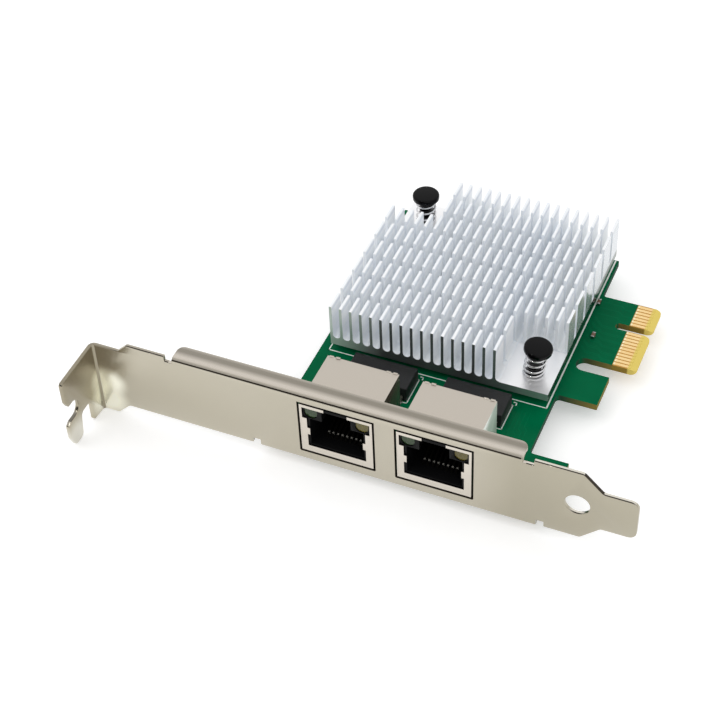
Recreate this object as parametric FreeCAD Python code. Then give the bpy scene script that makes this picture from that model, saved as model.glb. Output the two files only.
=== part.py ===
import FreeCAD, Part

import math
import os

V = FreeCAD.Vector

# Network interface card with two jacks, lying with its component side up.
# Millimetres. While modelling, X = 0 is the outer face of the bracket's screw tab and X runs
# towards the edge connector, Y = 0 is the front face of the bracket plate and Y runs back over
# the board, and Z = 0 is the lower edge of the plate. The pieces are saved about the middle of
# the card's footprint, with Z = 0 at its lowest point.

# Bracket: one folded sheet
sheet = 0.86
plate_length = 120.02
plate_width = 18.42
bend_radius = 0.6
flange_bend_radius = 0.4
lower_bend_radius = 0.2
neck_top = 16.06
neck_drop = 3.05
neck_bottom_length = 4.54
neck_top_length = 6.73
tongue_width = 10.19
tongue_length = 7.16
tongue_taper = 4.1
tongue_corner = 1.8
tongue_hole_radius = 2.6
tongue_hole_inset = 12.19
tongue_hole_rise = 0.19
corner_blend = 1.2
relief_width = 1.7
relief_depth = 1.35
roof_start = 19.75
roof_end = 96.35
roof_end_relief = 2.3
roof_depth = 4.4
roof_corner = 1.6
flange_drop = 0.8
flange_before_board = 1.15
flange_short_of_ear = 1.86
flange_depth = 3.2
lobe_width = 8.4
lobe_depth = 10.2
lobe_corner = 2.0
collar_wall = 0.95

# Screw tab of the bracket, with a screw slot that is open to its edge
tab_reach = 12.9
prong_reach = 13.4
tab_corner = 0.8
slot_width = 4.3
slot_height = 6.75
slot_inner_end = 8.6
prong_top = 4.4
prong_drop = 2.7
prong_width = 4.4
prong_corner = 1.3
relief_top = 3.3
relief_width_tab = 3.9
relief_corner = 1.2
prong_to_relief = 0.8
prong_tip_run = 1.1
prong_foot_run = 1.2
finger_tip_rise = 1.6
finger_tip_run = 0.75
tip_corner = 0.5
lobe_tip_drop = 2.6

# Board
board_thickness = 1.57
board_left = 40.0
board_width = 52.9
board_front = 1.7
board_far = 79.2
ear_reach = 8.5
ear_far = 15.75
lug_width = 8.8
lug_reach = 8.92
lug_slot = 3.86
inner_corner = 0.9
connector_near = 46.26
connector_width = 20.3
connector_reach = 13.7
connector_corner = 0.9
notch_width = 1.9
notch_depth = 8.25
notch_from_near = 12.15
bevel_length = 1.3
bevel_height = 0.45

# Edge contacts
contact_pitch = 1.0
contact_width = 0.7
contact_length = 3.95
contact_thickness = 0.05
contacts_near_group = 11
contacts_far_group = 7
contact_first_inset = 0.65

# Heatsink: cross-cut extrusion with two milled corners
sink_from_board_edge = 0.68
sink_near = 29.22
sink_width = 49.76
sink_depth = 49.6
sink_height = 10.9
sink_base = 2.0
fin_count = 22
fin_thickness = 0.63
row_count = 8
saw_width = 1.47
corner_fins = 5
corner_rows = 2
corner_mill_below_base = 0.1
corner_mill_past_row = 0.35
sink_hole_clearance = 0.35

# Controller chip and the pad between it and the heatsink
chip_side = 17.0
chip_height = 1.45
pad_height = 0.42

# Push pins and their springs
pin_front_inset = (5.6, 5.63)
pin_front_lean = 6.7
pin_rear_inset = (5.24, 5.51)
pin_rear_lean = 0
pin_head_radius = 3.1
pin_head_height = 1.25
pin_head_bevel = 0.3
pin_head_top = 9.72
pin_shaft_radius = 1.55
pin_hole_clearance = 0.15
pin_barb_radius = 2.05
pin_barb_gap = 0.3
pin_barb_length = 2.6
pin_tip_radius = 1.0
pin_slit = 0.7
pin_slit_above_board = 0.6
spring_radius = 2.15
spring_wire = 0.5
spring_turns = 3.8
spring_runs_per_turn = 10
spring_wire_sides = 5
spring_end_gap = 0.03

# Jacks
jack_first = 56.61
jack_pitch = 21.27
jack_width = 16.05
jack_below_roof = 1.71
jack_depth = 14.95
jack_gap_side = 0.4
jack_gap_top = 0.45
jack_gap_bottom = 0.35
shield_wall = 0.25
shield_fit = 0.05
shield_mouth_half = 6.45
shield_mouth_bottom = 1.7
shield_step_below_top = 3.72
shield_mouth_upper_half = 7.45
shield_lip = 0.82
shield_latch_half = 2.55
shield_latch_depth = 1.2
shield_spring_reach = 0.6
shield_spring_bottom = 5.0
shield_spring_height = 1.95
shield_lock_place = 8.2
shield_lock_length = 1.6
shield_lock_drop = 2.3
lock_hole_clearance = 0.2
housing_front = 0.35
cavity_half = 5.95
cavity_bottom = 2.1
cavity_below_top = 3.92
cavity_back = 12.3
latch_half = 3.2
latch_below_top = 1.02
latch_back = 8.5
lens_inner = 4.25
lens_outer = 7.05
lens_below_top = 0.97
lens_height = 2.65
lens_front = 0.6
lens_length = 6.0
lens_fit = 0.05
peg_radius = 1.5
peg_half_spacing = 5.7
peg_place = 7.2
peg_drop = 1.4
peg_hole_clearance = 0.1

# Spring contacts in each jack
wire_count = 8
wire_pitch = 1.02
wire_width = 0.4
wire_thickness = 0.25
wire_front = 3.0
wire_rise_to = 4.6
wire_rise_end = 10.6
wire_floor_gap = 0.15
wire_slot_length = 0.7
wire_tail_clearance = 0.05
wire_tail_drop = 2.4

# Pulse transformers behind the jacks
transformer_near = 20.15
transformer_width = 14.4
transformer_depth = 7.1
transformer_height = 3.35
transformer_standoff = 0.2
lead_count = 12
lead_pitch = 1.12
lead_width = 0.5
lead_thickness = 0.2
lead_reach = 1.2
lead_foot = 0.7
lead_exit_height = 1.5

# Screws between the bracket's lower flange and the board
screw_radius = 1.35
screw_head_radius = 2.6
screw_head_height = 1.7
screw_head_bevel = 0.6
screw_hole_clearance = 0.15
screw_tip_below_flange = 0.4
screw_place = 6.4
screw_inward = 1.1
screw_slot_width = 0.8
screw_slot_depth = 0.8
screw_slot_reach = 1.4
thread_clearance = 0.03

# Small electronic parts: length, width, height
capacitor_size = (1.6, 0.8, 0.8)
resistor_size = (1.0, 0.5, 0.35)
crystal_size = (3.2, 2.5, 0.8)
regulator_size = (5.0, 5.0, 0.9)
inductor_size = (4.2, 4.2, 1.5)
flash_size = (4.9, 3.9, 1.4)
flash_standoff = 0.1
flash_lead_pitch = 1.27
flash_lead_exit = 0.7
flash_lead_reach = 1.0
flash_leads_a_side = 4

# Places of the small parts, from the middle of the controller chip
side_column = 17.5
crystal_back = -4.0
regulator_back = -3.0
inductor_back = 4.5
flash_back = 7.0
capacitor_gap = 2.4
resistor_gap = 2.2
under_capacitor_pitch = 3.0
under_capacitors = 4
side_capacitors = 5
end_resistors = 6
edge_capacitor_place = (1.9, 7.0)

# Levels and places that follow from the sizes above
board_bottom = sheet
board_top = board_bottom + board_thickness
board_middle = (board_bottom + board_top) / 2
board_right = board_left + board_width
ear_end = board_right + ear_reach
lug_end = board_right + lug_reach
lug_far = connector_near - lug_slot
lug_near = lug_far - lug_width
connector_end = board_right + connector_reach
flange_start = board_left - flange_before_board
flange_end = ear_end - flange_short_of_ear
flange_foot = lower_bend_radius + sheet - flange_drop
sink_bottom = board_top + chip_height + pad_height
sink_floor = sink_bottom + sink_base
sink_top = sink_bottom + sink_height
sink_right = board_right - sink_from_board_edge
sink_left = sink_right - sink_width
sink_far = sink_near + sink_depth
fin_pitch = (sink_width - fin_thickness) / (fin_count - 1)
row_length = (sink_depth - (row_count - 1) * saw_width) / row_count
row_pitch = row_length + saw_width
flat_level = sink_floor - corner_mill_below_base
head_top = sink_bottom + pin_head_top
head_under = head_top - pin_head_height
jack_bottom = board_top
jack_top = plate_width - sheet - jack_below_roof
jack_height = jack_top - jack_bottom
cavity_top = jack_height - cavity_below_top
latch_top = jack_height - latch_below_top
lens_top = jack_height - lens_below_top
lens_bottom = lens_top - lens_height
jack_centres = (jack_first, jack_first + jack_pitch)
connector_far = connector_near + connector_width
notch_centre = connector_near + notch_from_near
tongue_bottom = (plate_width - tongue_width) / 2
tongue_top = (plate_width + tongue_width) / 2
tongue_hole_height = plate_width / 2 + tongue_hole_rise
chip_x = sink_left + sink_width / 2
chip_y = sink_near + sink_depth / 2
pins = {
    "front": (sink_right - pin_front_inset[0], sink_near + pin_front_inset[1], pin_front_lean),
    "rear": (sink_left + pin_rear_inset[0], sink_far - pin_rear_inset[1], pin_rear_lean),
}
screw_xs = (flange_start + lobe_width / 2 + screw_inward, flange_end - lobe_width / 2)
origin = V(plate_length / 2, (board_far - prong_reach) / 2, -neck_drop)


def on_xy(a, b):
    """Point of a sketch that lies flat, like the board."""
    return V(a, b, 0)


def on_xz(a, b):
    """Point of a sketch that stands like the bracket plate."""
    return V(a, 0, b)


def on_yz(a, b):
    """Point of a sketch that stands like the screw tab."""
    return V(0, a, b)


def sketch(corners, plane):
    """Face inside a closed outline of (a, b, corner radius)."""
    arcs = []
    count = len(corners)
    for i in range(count):
        before = corners[i - 1]
        here = corners[i]
        after = corners[(i + 1) % count]
        point = V(here[0], here[1], 0)
        back = V(before[0], before[1], 0) - point
        ahead = V(after[0], after[1], 0) - point
        back.normalize()
        ahead.normalize()
        radius = here[2]
        if radius == 0:
            arcs.append((point, None, point))
            continue
        half = back.getAngle(ahead) / 2
        run = radius / math.tan(half)
        middle = back + ahead
        middle.normalize()
        crown = point + middle * (radius / math.sin(half) - radius)
        arcs.append((point + back * run, crown, point + ahead * run))
    edges = []
    for i in range(count):
        start, crown, end = [p and plane(p.x, p.y) for p in arcs[i]]
        following = plane(arcs[(i + 1) % count][0].x, arcs[(i + 1) % count][0].y)
        if crown:
            edges.append(Part.Arc(start, crown, end).toShape())
        if (following - end).Length > 1e-6:
            edges.append(Part.LineSegment(end, following).toShape())
    return Part.Face(Part.Wire(edges))


def sharp(points):
    """Outline corners with no rounding."""
    return [(a, b, 0) for a, b in points]


def prism(corners, plane, start, end):
    """Sketch pushed along its normal, from one place to another."""
    direction = {on_xy: V(0, 0, 1), on_xz: V(0, 1, 0), on_yz: V(1, 0, 0)}[plane]
    face = sketch(corners, plane)
    face.translate(direction * start)
    return face.extrude(direction * (end - start))


def box(x0, x1, y0, y1, z0, z1):
    """Block between two corners."""
    return Part.makeBox(x1 - x0, y1 - y0, z1 - z0, V(x0, y0, z0))


def rod(radius, x, y, z0, z1):
    """Upright cylinder."""
    return Part.makeCylinder(radius, z1 - z0, V(x, y, z0))


def ring(profile, x, y):
    """Solid of revolution about an upright line, from (radius, z)."""
    face = sketch(sharp(profile), on_xz)
    solid = face.revolve(V(0, 0, 0), V(0, 0, 1), 360)
    solid.translate(V(x, y, 0))
    return solid


def save(name, *solids):
    """Write one sub-part, placed about the card's own origin."""
    placed = []
    for solid in solids:
        copy = solid.copy()
        copy.translate(V(0, 0, 0) - origin)
        placed.append(copy)
    shape = placed[0] if len(placed) == 1 else Part.makeCompound(placed)
    shape.exportStep("parts/" + name + ".step")


def folded_strip():
    """Tab and plate as one bent strip, before its edges are cut."""
    section = [
        (0, -prong_reach, 0),
        (0, sheet, bend_radius + sheet),
        (plate_length, sheet, 0),
        (plate_length, 0, 0),
        (sheet, 0, bend_radius),
        (sheet, -prong_reach, 0),
    ]
    return prism(section, on_xy, -neck_drop, plate_width)


def plate_outline():
    """Edge of the plate: the neck at the bend, the full width, and the tongue."""
    taper_start = plate_length - tongue_length - tongue_taper
    taper_end = plate_length - tongue_length
    rise = plate_width - neck_top
    outline = [
        (-1, -neck_drop, 0),
        (neck_bottom_length, -neck_drop, corner_blend),
        (neck_bottom_length + neck_drop, 0, corner_blend),
        (taper_start, 0, corner_blend),
        (taper_end, tongue_bottom, corner_blend),
        (plate_length, tongue_bottom, tongue_corner),
        (plate_length, tongue_top, tongue_corner),
        (taper_end, tongue_top, corner_blend),
        (taper_start, plate_width, corner_blend),
        (neck_top_length + rise, plate_width, 0.8),
        (neck_top_length, neck_top, 0.8),
        (-1, neck_top, 0),
    ]
    return prism(outline, on_xz, -bend_radius, sheet + 1)


def tab_outline():
    """Edge of the tab: a finger over the screw slot, a prong under it, and a relief."""
    slot_top = slot_height + slot_width / 2
    slot_bottom = slot_height - slot_width / 2
    relief_outer = prong_reach - prong_width - prong_to_relief
    relief_inner = relief_outer - relief_width_tab
    round_end = slot_width / 2 - 0.05
    outline = [
        (-bend_radius, neck_top, 0),
        (-tab_reach, neck_top, tab_corner),
        (-tab_reach, slot_top + finger_tip_rise, finger_tip_rise),
        (-tab_reach + finger_tip_run, slot_top, tip_corner),
        (-slot_inner_end, slot_top, round_end),
        (-slot_inner_end, slot_bottom, round_end),
        (-prong_reach + prong_tip_run, slot_bottom, tip_corner),
        (-prong_reach, prong_top - tip_corner, tip_corner),
        (-prong_reach, 0.4, prong_corner),
        (-prong_reach + prong_foot_run, -prong_drop, prong_corner),
        (-prong_reach + prong_width, -prong_drop, prong_corner),
        (-relief_outer, relief_top, relief_corner),
        (-relief_inner, relief_top, relief_corner),
        (-relief_inner, -lobe_tip_drop, tip_corner),
        (-bend_radius, -neck_drop, 0),
    ]
    return prism(outline, on_yz, -1, sheet + 1)


def fold_section(depth, edge, inward, radius):
    """Section of a flange: a leg in the plate and a leg turned back from its edge."""
    foot = edge + inward * (radius + sheet)
    inner = edge + inward * sheet
    return [
        (0, foot, 0),
        (0, edge, radius + sheet),
        (depth, edge, 0),
        (depth, inner, 0),
        (sheet, inner, radius),
        (sheet, foot, 0),
    ]


def roof():
    """Flange turned back from the upper edge of the plate, over the jacks."""
    section = fold_section(roof_depth, plate_width, -1, flange_bend_radius)
    bent = prism(section, on_yz, roof_start, roof_end)
    plan = [
        (roof_start, -1, 0),
        (roof_end, -1, 0),
        (roof_end, roof_depth, roof_corner),
        (roof_start, roof_depth, roof_corner),
    ]
    return bent.common(prism(plan, on_xy, -1, plate_width + 1))


def lower_flange():
    """Flange turned back under the board, with two lobes that carry the screws on raised collars."""
    section = fold_section(lobe_depth, -flange_drop, 1, lower_bend_radius)
    bent = prism(section, on_yz, flange_start, flange_end)
    plan = [
        (flange_start, -1, 0),
        (flange_end, -1, 0),
        (flange_end, lobe_depth, lobe_corner),
        (flange_end - lobe_width, lobe_depth, lobe_corner),
        (flange_end - lobe_width, flange_depth, 0.8),
        (flange_start + lobe_width, flange_depth, 0.8),
        (flange_start + lobe_width, lobe_depth, lobe_corner),
        (flange_start, lobe_depth, lobe_corner),
    ]
    flat = bent.common(prism(plan, on_xy, -flange_drop - 1, plate_width))
    collar = screw_radius + collar_wall
    return flat.fuse([rod(collar, x, screw_place, -flange_drop, board_bottom) for x in screw_xs])


def port_cut(centre):
    """Opening in the plate for one jack."""
    half = jack_width / 2 + jack_gap_side
    low = jack_bottom - jack_gap_bottom
    high = jack_top + jack_gap_top
    return box(centre - half, centre + half, -1, sheet + 1, low, high)


def bracket():
    """The folded bracket, one sheet of steel."""
    strip = folded_strip()
    body = strip.common(plate_outline()).fuse(strip.common(tab_outline()))
    top_cut = plate_width - flange_bend_radius - sheet
    body = body.cut(box(roof_start, roof_end, -1, 2 * sheet, top_cut, plate_width + 1))
    body = body.cut(box(flange_start, flange_end, -1, 2 * sheet, -1, flange_foot))
    body = body.fuse([roof(), lower_flange()])
    cuts = [port_cut(centre) for centre in jack_centres]
    for edge, reach in ((roof_start, -relief_width), (roof_end, roof_end_relief)):
        x0, x1 = sorted((edge, edge + reach))
        cuts.append(box(x0, x1, -1, 2 * sheet, plate_width - relief_depth, plate_width + 1))
    for edge, reach in ((flange_start, -relief_width), (flange_end, relief_width)):
        x0, x1 = sorted((edge, edge + reach))
        cuts.append(box(x0, x1, -1, 2 * sheet, -1, relief_depth))
    hole_x = plate_length - tongue_hole_inset
    hole_start = V(hole_x, -sheet, tongue_hole_height)
    cuts.append(Part.makeCylinder(tongue_hole_radius, 3 * sheet, hole_start, V(0, 1, 0)))
    bore = screw_radius + thread_clearance
    for x in screw_xs:
        cuts.append(rod(bore, x, screw_place, -flange_drop - 1, board_bottom + 1))
    return body.cut(cuts).removeSplitter()


def pin_axis(x, y, lean, level):
    """Point at one height on the line of a pin that leans in its board hole."""
    return V(x + (level - board_middle) * math.tan(math.radians(lean)), y, level)


def board_holes():
    """Everything that passes through the board."""
    low = board_bottom - 1
    high = board_top + 1
    cuts = []
    for x, y, lean in pins.values():
        cuts.append(rod(pin_shaft_radius + pin_hole_clearance, x, y, low, high))
    for x in screw_xs:
        cuts.append(rod(screw_radius + screw_hole_clearance, x, screw_place, low, high))
    lock_half = jack_width / 2 + lock_hole_clearance
    for centre in jack_centres:
        for side in (-1, 1):
            peg_x = centre + side * peg_half_spacing
            cuts.append(rod(peg_radius + peg_hole_clearance, peg_x, peg_place, low, high))
            outer = centre + side * lock_half
            inner = outer - side * (shield_wall + 2 * lock_hole_clearance)
            x0, x1 = sorted((outer, inner))
            y0 = shield_lock_place - lock_hole_clearance
            y1 = shield_lock_place + shield_lock_length + lock_hole_clearance
            cuts.append(box(x0, x1, y0, y1, low, high))
        half_x = wire_width / 2 + wire_tail_clearance
        half_y = wire_thickness / 2 + wire_tail_clearance
        y = wire_tail_place()
        for x in wire_places(centre):
            cuts.append(box(x - half_x, x + half_x, y - half_y, y + half_y, low, high))
    return cuts


def circuit_board():
    """The board, with its ear, lug, slot and bevelled edge connector."""
    slot_round = (connector_near - lug_far) / 2 - 0.02
    notch_round = notch_width / 2 - 0.02
    near_wall = notch_centre - notch_width / 2
    far_wall = notch_centre + notch_width / 2
    notch_end = connector_end - notch_depth
    outline = [
        (board_left, board_front, 0),
        (ear_end, board_front, 0),
        (ear_end, ear_far, 0),
        (board_right, ear_far, inner_corner),
        (board_right, lug_near, inner_corner),
        (lug_end, lug_near, 0),
        (lug_end, lug_far, 0),
        (board_right + inner_corner, lug_far, slot_round),
        (board_right + inner_corner, connector_near, slot_round),
        (connector_end, connector_near, connector_corner),
        (connector_end, near_wall, connector_corner),
        (notch_end, near_wall, notch_round),
        (notch_end, far_wall, notch_round),
        (connector_end, far_wall, connector_corner),
        (connector_end, connector_far, connector_corner),
        (board_right, connector_far, inner_corner),
        (board_right, board_far, 0),
        (board_left, board_far, 0),
    ]
    slab = prism(outline, on_xy, board_bottom, board_top)
    cuts = board_holes()
    for level, step in ((board_top, -1), (board_bottom, 1)):
        wedge = sharp([
            (connector_end - bevel_length, level),
            (connector_end + 0.5, level + step * bevel_height * (1 + 0.5 / bevel_length)),
            (connector_end + 0.5, level - step),
            (connector_end - bevel_length, level - step),
        ])
        cuts.append(prism(wedge, on_xz, connector_near - 1, connector_far + 1))
    return slab.cut(cuts)


def edge_contacts():
    """Plated fingers on both faces of the edge connector."""
    places = []
    for i in range(contacts_near_group):
        places.append(connector_near + contact_first_inset + i * contact_pitch)
    far_start = connector_far - contact_first_inset - (contacts_far_group - 1) * contact_pitch
    for i in range(contacts_far_group):
        places.append(far_start + i * contact_pitch)
    x1 = connector_end - bevel_length
    x0 = x1 - contact_length
    fingers = []
    for y in places:
        y0 = y - contact_width / 2
        y1 = y + contact_width / 2
        fingers.append(box(x0, x1, y0, y1, board_top, board_top + contact_thickness))
        fingers.append(box(x0, x1, y0, y1, board_bottom - contact_thickness, board_bottom))
    return fingers


def heatsink():
    """Extruded channels along Y, saw cuts along X, and two milled corners."""
    channel = fin_pitch - fin_thickness
    outline = [(sink_left, sink_bottom), (sink_right, sink_bottom)]
    for i in reversed(range(fin_count)):
        x0 = sink_left + i * fin_pitch
        x1 = x0 + fin_thickness
        if i < fin_count - 1:
            outline.append((x1, sink_floor))
        outline.append((x1, sink_top))
        outline.append((x0, sink_top))
        if i > 0:
            outline.append((x0, sink_floor))
    body = prism(sharp(outline), on_xz, sink_near, sink_far)
    cuts = []
    for i in range(row_count - 1):
        y0 = sink_near + row_length + i * row_pitch
        cuts.append(box(sink_left - 1, sink_right + 1, y0, y0 + saw_width, sink_floor, sink_top + 1))
    mill_width = corner_fins * fin_pitch - channel / 2
    mill_depth = corner_rows * row_pitch + corner_mill_past_row
    cuts.append(box(
        sink_right - mill_width, sink_right + 1,
        sink_near - 1, sink_near + mill_depth, flat_level, sink_top + 1))
    cuts.append(box(
        sink_left - 1, sink_left + mill_width,
        sink_far - mill_depth, sink_far + 1, flat_level, sink_top + 1))
    bore = pin_shaft_radius + sink_hole_clearance
    for x, y, lean in pins.values():
        middle = pin_axis(x, y, lean, sink_bottom + sink_base / 2)
        cuts.append(rod(bore, middle.x, middle.y, sink_bottom - 1, sink_top))
    return body.cut(cuts)


def push_pin(x, y, lean):
    """Nylon pin: round head, shaft through heatsink and board, and a split barb."""
    barb_top = board_bottom - pin_barb_gap
    tip = barb_top - pin_barb_length
    profile = [
        (0, head_top),
        (pin_head_radius - pin_head_bevel, head_top),
        (pin_head_radius, head_top - pin_head_bevel),
        (pin_head_radius, head_under),
        (pin_shaft_radius, head_under),
        (pin_shaft_radius, barb_top),
        (pin_barb_radius, barb_top),
        (pin_tip_radius, tip),
        (0, tip),
    ]
    solid = ring(profile, x, y)
    reach = pin_barb_radius + 1
    slit_top = board_bottom + pin_slit_above_board
    slit = box(x - reach, x + reach, y - pin_slit / 2, y + pin_slit / 2, tip - 1, slit_top)
    pin = solid.cut(slit)
    pin.rotate(V(x, y, board_middle), V(0, 1, 0), lean)
    return pin


def pin_spring(x, y, lean):
    """Coil spring between the milled flat and the head of the pin, bent in short straight runs."""
    wire = spring_wire / 2
    bottom = pin_axis(x, y, lean, flat_level + wire + spring_end_gap)
    along = FreeCAD.Rotation(V(0, 1, 0), lean).multVec(V(0, 0, 1))
    reach = head_under - wire - spring_end_gap - board_middle
    length = reach - (bottom - V(x, y, board_middle)).Length
    runs = round(spring_turns * spring_runs_per_turn)
    points = []
    for i in range(runs + 1):
        turn = 2 * math.pi * i / spring_runs_per_turn
        flat = V(spring_radius * math.cos(turn), spring_radius * math.sin(turn), 0)
        tilt = FreeCAD.Rotation(V(0, 1, 0), lean * i / runs)
        points.append(bottom + along * (length * i / runs) + tilt.multVec(flat))
    ahead = points[1] - points[0]
    ahead.normalize()
    section = []
    for i in range(spring_wire_sides + 1):
        around = 2 * math.pi * (i + 0.5) / spring_wire_sides
        outward = V(1, 0, 0) * (wire * math.cos(around))
        upward = ahead.cross(V(-1, 0, 0)) * (wire * math.sin(around))
        section.append(points[0] + outward + upward)
    path = Part.Wire(Part.makePolygon(points).Edges)
    mitred = 1
    return path.makePipeShell([Part.makePolygon(section)], True, False, mitred)


def shield(centre):
    """Folded metal shell of a jack, open at its mouth and underneath."""
    half = jack_width / 2
    inner = half - shield_wall
    shell = box(centre - half, centre + half, 0, jack_depth, jack_bottom, jack_top)
    hollow = box(
        centre - inner, centre + inner,
        shield_wall, jack_depth - shield_wall, jack_bottom - 1, jack_top - shield_wall)
    step = jack_top - shield_step_below_top
    top = jack_top - shield_lip
    bottom = jack_bottom + shield_mouth_bottom
    spring_low = jack_bottom + shield_spring_bottom
    spring_high = spring_low + shield_spring_height
    sprung = shield_mouth_half - shield_spring_reach
    mouth = prism(sharp([
        (centre - shield_mouth_half, bottom),
        (centre + shield_mouth_half, bottom),
        (centre + shield_mouth_half, spring_low),
        (centre + sprung, spring_low),
        (centre + sprung, spring_high),
        (centre + shield_mouth_half, spring_high),
        (centre + shield_mouth_half, step),
        (centre + shield_mouth_upper_half, step),
        (centre + shield_mouth_upper_half, top),
        (centre + shield_latch_half, top),
        (centre + shield_latch_half, jack_top + 1),
        (centre - shield_latch_half, jack_top + 1),
        (centre - shield_latch_half, top),
        (centre - shield_mouth_upper_half, top),
        (centre - shield_mouth_upper_half, step),
        (centre - shield_mouth_half, step),
        (centre - shield_mouth_half, spring_high),
        (centre - sprung, spring_high),
        (centre - sprung, spring_low),
        (centre - shield_mouth_half, spring_low),
    ]), on_xz, -1, shield_wall)
    notch = box(
        centre - shield_latch_half, centre + shield_latch_half,
        -1, shield_latch_depth, jack_top - shield_wall, jack_top + 1)
    solid = shell.cut([hollow, mouth, notch])
    locks = []
    for side in (-1, 1):
        x0, x1 = sorted((centre + side * half, centre + side * inner))
        locks.append(box(
            x0, x1, shield_lock_place, shield_lock_place + shield_lock_length,
            jack_bottom - shield_lock_drop, jack_bottom + 1))
    return solid.fuse(locks).removeSplitter()


def lens_outline(centre, side, grow):
    """Front of a light window: square on top, round underneath."""
    x0, x1 = sorted((centre + side * lens_inner, centre + side * lens_outer))
    low = jack_bottom + lens_bottom - grow
    high = jack_bottom + lens_top + grow
    blend = (x1 - x0) / 2 + grow - 0.1
    return [
        (x0 - grow, low, blend),
        (x1 + grow, low, blend),
        (x1 + grow, high, 0),
        (x0 - grow, high, 0),
    ]


def housing(centre):
    """Black moulding inside the shell, with the plug cavity and its latch channel."""
    half = jack_width / 2 - shield_wall - shield_fit
    back = jack_depth - shield_wall - shield_fit
    top = jack_top - shield_wall - shield_fit
    block = box(centre - half, centre + half, housing_front, back, jack_bottom, top)
    mouth = housing_front - 1
    cuts = [
        box(centre - cavity_half, centre + cavity_half, mouth, cavity_back,
            jack_bottom + cavity_bottom, jack_bottom + cavity_top),
        box(centre - latch_half, centre + latch_half, mouth, latch_back,
            jack_bottom + cavity_top - 1, jack_bottom + latch_top),
    ]
    for side in (-1, 1):
        cuts.append(prism(
            lens_outline(centre, side, lens_fit), on_xz, mouth, lens_front + lens_length + lens_fit))
    slot_half = wire_count * wire_pitch / 2
    cuts.append(box(
        centre - slot_half, centre + slot_half,
        cavity_back - wire_slot_length, cavity_back, jack_bottom - 1, jack_bottom + cavity_bottom + 1))
    solid = block.cut(cuts)
    pegs = []
    for side in (-1, 1):
        pegs.append(rod(
            peg_radius, centre + side * peg_half_spacing, peg_place,
            jack_bottom - peg_drop, jack_bottom + 0.5))
    return solid.fuse(pegs).removeSplitter()


def wire_places(centre):
    """Middles of the contact wires of one jack."""
    first = centre - (wire_count - 1) * wire_pitch / 2
    return [first + i * wire_pitch for i in range(wire_count)]


def wire_tail_place():
    """Middle of the wire tails, front to back."""
    return cavity_back - wire_slot_length / 2


def contact_wires(centre):
    """Eight springs: a rising leg, a floor leg and a tail through the board."""
    t = wire_thickness
    floor = jack_bottom + cavity_bottom + wire_floor_gap
    rise = jack_bottom + wire_rise_to
    tail = wire_tail_place()
    low = jack_bottom - wire_tail_drop
    profile = sharp([
        (wire_front, floor),
        (tail - t / 2, floor),
        (tail - t / 2, low),
        (tail + t / 2, low),
        (tail + t / 2, floor + t),
        (wire_front + 1.2, floor + t),
        (wire_rise_end, rise),
        (wire_rise_end - 0.15, rise + t),
        (wire_front, floor + t),
    ])
    wires = []
    for x in wire_places(centre):
        wires.append(prism(profile, on_yz, x - wire_width / 2, x + wire_width / 2))
    return wires


def lens(centre, side):
    """Clear window in front of an indicator light."""
    return prism(lens_outline(centre, side, 0), on_xz, lens_front, lens_front + lens_length)


def transformer(centre):
    """Moulded block with bevelled sides."""
    half = transformer_width / 2
    low = board_top + transformer_standoff
    high = low + transformer_height
    draft = 0.2
    section = sharp([
        (transformer_near, low),
        (transformer_near + transformer_depth, low),
        (transformer_near + transformer_depth, low + lead_exit_height),
        (transformer_near + transformer_depth - draft, high),
        (transformer_near + draft, high),
        (transformer_near, low + lead_exit_height),
    ])
    return prism(section, on_yz, centre - half, centre + half)


def gull_lead(edge, side, x, exit_height, reach):
    """Lead that slopes down from one side of a body and ends in a foot on the board."""
    t = lead_thickness
    high = board_top + exit_height
    knee = edge + side * (reach - lead_foot)
    foot = edge + side * reach
    profile = sharp([
        (edge, high),
        (knee + side * t, board_top + t),
        (foot, board_top + t),
        (foot, board_top),
        (knee, board_top),
        (edge, high - 2 * t),
    ])
    return prism(profile, on_yz, x - lead_width / 2, x + lead_width / 2)


def transformer_leads(centre):
    """Two rows of bent leads along the long sides."""
    first = centre - (lead_count - 1) * lead_pitch / 2
    far = transformer_near + transformer_depth
    leads = []
    for i in range(lead_count):
        x = first + i * lead_pitch
        leads.append(gull_lead(transformer_near, -1, x, lead_exit_height, lead_reach))
        leads.append(gull_lead(far, 1, x, lead_exit_height, lead_reach))
    return leads


def bracket_screw(x):
    """Pan head screw on the board, biting into the bracket's lower flange."""
    tip = board_bottom - sheet - screw_tip_below_flange
    top = board_top + screw_head_height
    profile = [
        (0, top),
        (screw_head_radius - screw_head_bevel, top),
        (screw_head_radius, top - screw_head_bevel),
        (screw_head_radius, board_top),
        (screw_radius, board_top),
        (screw_radius, tip),
        (0, tip),
    ]
    solid = ring(profile, x, screw_place)
    half = screw_slot_width / 2
    reach = screw_slot_reach
    floor = top - screw_slot_depth
    slots = [
        box(x - half, x + half, screw_place - reach, screw_place + reach, floor, top + 1),
        box(x - reach, x + reach, screw_place - half, screw_place + half, floor, top + 1),
    ]
    return solid.cut(slots)


def small_block(size, x, y, turned=False, below=False, lift=0):
    """Block of a surface-mounted part about its middle, on either face of the board."""
    length, width, height = size
    if turned:
        length, width = width, length
    low = board_bottom - height if below else board_top + lift
    return box(x - length / 2, x + length / 2, y - width / 2, y + width / 2, low, low + height)


def around_chip(size, count, gap, below=False):
    """Row of equal parts along the two sides of the controller chip."""
    solids = []
    step = chip_side / count
    offset = chip_side / 2 + gap
    for side in (-1, 1):
        for i in range(count):
            y = chip_y - chip_side / 2 + (i + 0.5) * step
            solids.append(small_block(size, chip_x + side * offset, y, False, below))
    return solids


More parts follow.
